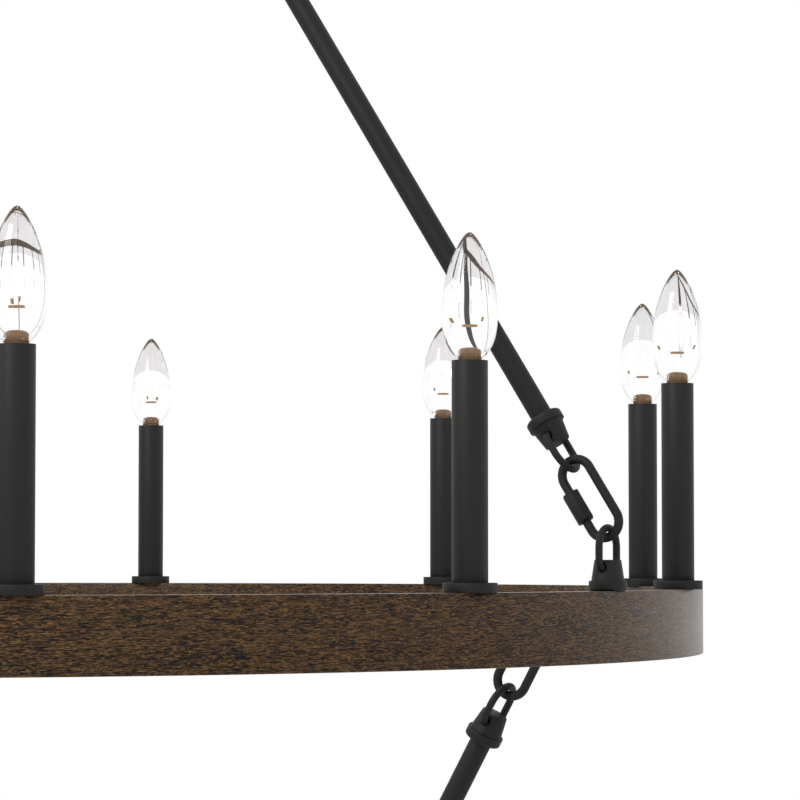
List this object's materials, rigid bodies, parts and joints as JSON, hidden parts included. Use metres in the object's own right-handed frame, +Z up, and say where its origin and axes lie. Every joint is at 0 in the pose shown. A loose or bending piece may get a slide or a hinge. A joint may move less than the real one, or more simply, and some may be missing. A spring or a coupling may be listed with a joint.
{
  "type": "wagon wheel chandelier",
  "caption": "Two-tier hanging light: wood-look rings with candle-style bulbs, hung on slanting black rods joined by loops and screw quick links.",
  "frame": {"origin": "centre of the mounting bar's upper face, on the ceiling plane", "axes": "+Z up into the ceiling, +X to the picture's right, +Y away from the viewer"},
  "size_m": [1.2186, 1.2217, 1.6016],
  "materials": {
    "black_metal": "matte black powder coat",
    "wood_print": "glossy dark wood-grain print on steel",
    "black_sleeve": "satin black candle sleeve",
    "socket_plastic": "black moulded lampholder",
    "bulb_glass": "clear glass candle bulb, lit"
  },
  "bodies": {
    "ceiling_plate": {"mounting_bar": "black_metal", "post": "black_metal", "canopy_loop": "black_metal"},
    "canopy": {"canopy": "black_metal", "canopy_collar": "black_metal"},
    "top_link": {"top_link": "black_metal"},
    "top_link_nut": {"top_link_nut": "black_metal"},
    "fixture": {"hub": "black_metal", "hub_top_loop": "black_metal", "hub_rod_loops": "black_metal", "drop_loops": "black_metal", "upper_rods": "black_metal", "upper_rod_caps": "black_metal", "upper_links": "black_metal", "upper_ring_loops": "black_metal", "upper_candle_cups": "black_metal", "upper_ring_channel": "wood_print", "upper_ring_cover": "wood_print", "upper_candle_sleeves": "black_sleeve", "upper_candle_sockets": "socket_plastic", "lower_rods": "black_metal", "lower_rod_caps": "black_metal", "lower_links": "black_metal", "lower_ring_loops": "black_metal", "lower_candle_cups": "black_metal", "lower_ring_channel": "wood_print", "lower_ring_cover": "wood_print", "lower_candle_sleeves": "black_sleeve", "lower_candle_sockets": "socket_plastic"},
    "upper_link_nut_1": {"upper_link_nut_1": "black_metal"},
    "upper_link_nut_2": {"upper_link_nut_2": "black_metal"},
    "upper_link_nut_3": {"upper_link_nut_3": "black_metal"},
    "upper_link_nut_4": {"upper_link_nut_4": "black_metal"},
    "upper_link_nut_5": {"upper_link_nut_5": "black_metal"},
    "upper_link_nut_6": {"upper_link_nut_6": "black_metal"},
    "lower_link_nut_1": {"lower_link_nut_1": "black_metal"},
    "lower_link_nut_2": {"lower_link_nut_2": "black_metal"},
    "lower_link_nut_3": {"lower_link_nut_3": "black_metal"},
    "lower_link_nut_4": {"lower_link_nut_4": "black_metal"},
    "lower_link_nut_5": {"lower_link_nut_5": "black_metal"},
    "lower_link_nut_6": {"lower_link_nut_6": "black_metal"},
    "upper_bulb_01": {"upper_bulb_01": "bulb_glass"},
    "upper_bulb_02": {"upper_bulb_02": "bulb_glass"},
    "upper_bulb_03": {"upper_bulb_03": "bulb_glass"},
    "upper_bulb_04": {"upper_bulb_04": "bulb_glass"},
    "upper_bulb_05": {"upper_bulb_05": "bulb_glass"},
    "upper_bulb_06": {"upper_bulb_06": "bulb_glass"},
    "upper_bulb_07": {"upper_bulb_07": "bulb_glass"},
    "upper_bulb_08": {"upper_bulb_08": "bulb_glass"},
    "upper_bulb_09": {"upper_bulb_09": "bulb_glass"},
    "upper_bulb_10": {"upper_bulb_10": "bulb_glass"},
    "upper_bulb_11": {"upper_bulb_11": "bulb_glass"},
    "upper_bulb_12": {"upper_bulb_12": "bulb_glass"},
    "lower_bulb_01": {"lower_bulb_01": "bulb_glass"},
    "lower_bulb_02": {"lower_bulb_02": "bulb_glass"},
    "lower_bulb_03": {"lower_bulb_03": "bulb_glass"},
    "lower_bulb_04": {"lower_bulb_04": "bulb_glass"},
    "lower_bulb_05": {"lower_bulb_05": "bulb_glass"},
    "lower_bulb_06": {"lower_bulb_06": "bulb_glass"}
  },
  "joints": [
    {"name": "canopy_drop", "type": "slide", "parent": "ceiling_plate", "child": "canopy", "axis": [0, 0, -1], "range_m": [0, 0.03]},
    {"name": "link_swing", "type": "hinge", "parent": "ceiling_plate", "child": "top_link", "pos_m": [0, 0, -0.086], "axis": [1, 0, 0], "range_deg": [-20, 20]},
    {"name": "fixture_swing", "type": "hinge", "parent": "top_link", "child": "fixture", "pos_m": [0, 0, -0.1389], "axis": [0, 1, 0], "range_deg": [-20, 20]},
    {"name": "top_link_nut_run", "type": "slide", "parent": "top_link", "child": "top_link_nut", "axis": [0, 0, 1], "range_m": [0, 0.007]},
    {"name": "upper_link_nut_1_run", "type": "slide", "parent": "fixture", "child": "upper_link_nut_1", "axis": [-0.4715, 0.2722, 0.8388], "range_m": [0, 0.007]},
    {"name": "upper_link_nut_2_run", "type": "slide", "parent": "fixture", "child": "upper_link_nut_2", "axis": [-0.4715, 0.2722, 0.8388], "range_m": [0, 0.007]},
    {"name": "upper_link_nut_3_run", "type": "slide", "parent": "fixture", "child": "upper_link_nut_3", "axis": [0, -0.5445, 0.8388], "range_m": [0, 0.007]},
    {"name": "upper_link_nut_4_run", "type": "slide", "parent": "fixture", "child": "upper_link_nut_4", "axis": [0, -0.5445, 0.8388], "range_m": [0, 0.007]},
    {"name": "upper_link_nut_5_run", "type": "slide", "parent": "fixture", "child": "upper_link_nut_5", "axis": [0.4715, 0.2722, 0.8388], "range_m": [0, 0.007]},
    {"name": "upper_link_nut_6_run", "type": "slide", "parent": "fixture", "child": "upper_link_nut_6", "axis": [0.4715, 0.2722, 0.8388], "range_m": [0, 0.007]},
    {"name": "lower_link_nut_1_run", "type": "slide", "parent": "fixture", "child": "lower_link_nut_1", "axis": [0.4256, -0.2457, 0.8709], "range_m": [0, 0.007]},
    {"name": "lower_link_nut_2_run", "type": "slide", "parent": "fixture", "child": "lower_link_nut_2", "axis": [0.4256, -0.2457, 0.8709], "range_m": [0, 0.007]},
    {"name": "lower_link_nut_3_run", "type": "slide", "parent": "fixture", "child": "lower_link_nut_3", "axis": [0, 0.4915, 0.8709], "range_m": [0, 0.007]},
    {"name": "lower_link_nut_4_run", "type": "slide", "parent": "fixture", "child": "lower_link_nut_4", "axis": [0, 0.4915, 0.8709], "range_m": [0, 0.007]},
    {"name": "lower_link_nut_5_run", "type": "slide", "parent": "fixture", "child": "lower_link_nut_5", "axis": [-0.4256, -0.2457, 0.8709], "range_m": [0, 0.007]},
    {"name": "lower_link_nut_6_run", "type": "slide", "parent": "fixture", "child": "lower_link_nut_6", "axis": [-0.4256, -0.2457, 0.8709], "range_m": [0, 0.007]},
    {"name": "upper_bulb_01_out", "type": "slide", "parent": "fixture", "child": "upper_bulb_01", "axis": [0, 0, 1], "range_m": [0, 0.03]},
    {"name": "upper_bulb_02_out", "type": "slide", "parent": "fixture", "child": "upper_bulb_02", "axis": [0, 0, 1], "range_m": [0, 0.03]},
    {"name": "upper_bulb_03_out", "type": "slide", "parent": "fixture", "child": "upper_bulb_03", "axis": [0, 0, 1], "range_m": [0, 0.03]},
    {"name": "upper_bulb_04_out", "type": "slide", "parent": "fixture", "child": "upper_bulb_04", "axis": [0, 0, 1], "range_m": [0, 0.03]},
    {"name": "upper_bulb_05_out", "type": "slide", "parent": "fixture", "child": "upper_bulb_05", "axis": [0, 0, 1], "range_m": [0, 0.03]},
    {"name": "upper_bulb_06_out", "type": "slide", "parent": "fixture", "child": "upper_bulb_06", "axis": [0, 0, 1], "range_m": [0, 0.03]},
    {"name": "upper_bulb_07_out", "type": "slide", "parent": "fixture", "child": "upper_bulb_07", "axis": [0, 0, 1], "range_m": [0, 0.03]},
    {"name": "upper_bulb_08_out", "type": "slide", "parent": "fixture", "child": "upper_bulb_08", "axis": [0, 0, 1], "range_m": [0, 0.03]},
    {"name": "upper_bulb_09_out", "type": "slide", "parent": "fixture", "child": "upper_bulb_09", "axis": [0, 0, 1], "range_m": [0, 0.03]},
    {"name": "upper_bulb_10_out", "type": "slide", "parent": "fixture", "child": "upper_bulb_10", "axis": [0, 0, 1], "range_m": [0, 0.03]},
    {"name": "upper_bulb_11_out", "type": "slide", "parent": "fixture", "child": "upper_bulb_11", "axis": [0, 0, 1], "range_m": [0, 0.03]},
    {"name": "upper_bulb_12_out", "type": "slide", "parent": "fixture", "child": "upper_bulb_12", "axis": [0, 0, 1], "range_m": [0, 0.03]},
    {"name": "lower_bulb_01_out", "type": "slide", "parent": "fixture", "child": "lower_bulb_01", "axis": [0, 0, 1], "range_m": [0, 0.03]},
    {"name": "lower_bulb_02_out", "type": "slide", "parent": "fixture", "child": "lower_bulb_02", "axis": [0, 0, 1], "range_m": [0, 0.03]},
    {"name": "lower_bulb_03_out", "type": "slide", "parent": "fixture", "child": "lower_bulb_03", "axis": [0, 0, 1], "range_m": [0, 0.03]},
    {"name": "lower_bulb_04_out", "type": "slide", "parent": "fixture", "child": "lower_bulb_04", "axis": [0, 0, 1], "range_m": [0, 0.03]},
    {"name": "lower_bulb_05_out", "type": "slide", "parent": "fixture", "child": "lower_bulb_05", "axis": [0, 0, 1], "range_m": [0, 0.03]},
    {"name": "lower_bulb_06_out", "type": "slide", "parent": "fixture", "child": "lower_bulb_06", "axis": [0, 0, 1], "range_m": [0, 0.03]}
  ]
}
